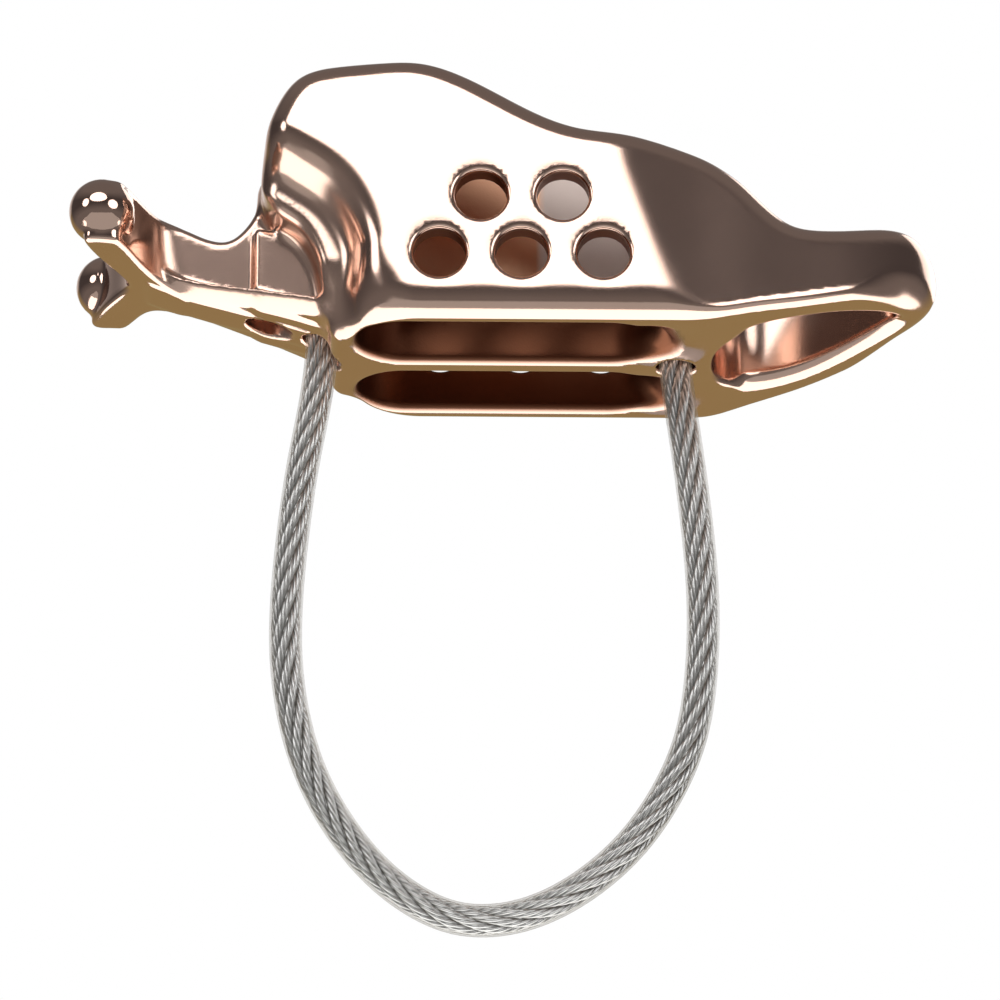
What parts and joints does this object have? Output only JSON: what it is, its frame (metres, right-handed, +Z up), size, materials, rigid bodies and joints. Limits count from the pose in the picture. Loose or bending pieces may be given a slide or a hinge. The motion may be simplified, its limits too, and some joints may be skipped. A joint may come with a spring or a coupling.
{
  "type": "belay device",
  "caption": "Snail-shaped forged belay plate with rope slots, ball-ended release horns, a guide eye and a sheathed wire keeper loop.",
  "frame": {"origin": "middle of the web's underside between the two rope slots, where the belay carabiner bears", "axes": "+X along the length towards the guide eye, +Z up away from the keeper loop, Y across the two slots"},
  "size_m": [0.0931, 0.0318, 0.0937],
  "materials": {
    "anodised_aluminium": "polished, rose-gold anodised",
    "wire_rope": "stranded stainless steel wire",
    "clear_sheath": "clear extruded plastic",
    "crimp_ferrule": "satin, swaged"
  },
  "bodies": {
    "plate": {"forged_body": "anodised_aluminium", "cable_end_left": "wire_rope", "cable_end_right": "wire_rope", "ferrule_left": "crimp_ferrule", "ferrule_right": "crimp_ferrule"},
    "keeper_loop": {"keeper_cable": "wire_rope", "cable_sheath": "clear_sheath"}
  },
  "joints": [
    {"name": "keeper_flex", "type": "hinge", "parent": "plate", "child": "keeper_loop", "pos_m": [-0.0192, 0, 0.0017], "axis": [0.999, 0, -0.0448], "range_deg": [-30, 30], "stiffness_Nm_per_rad": 0.1}
  ]
}
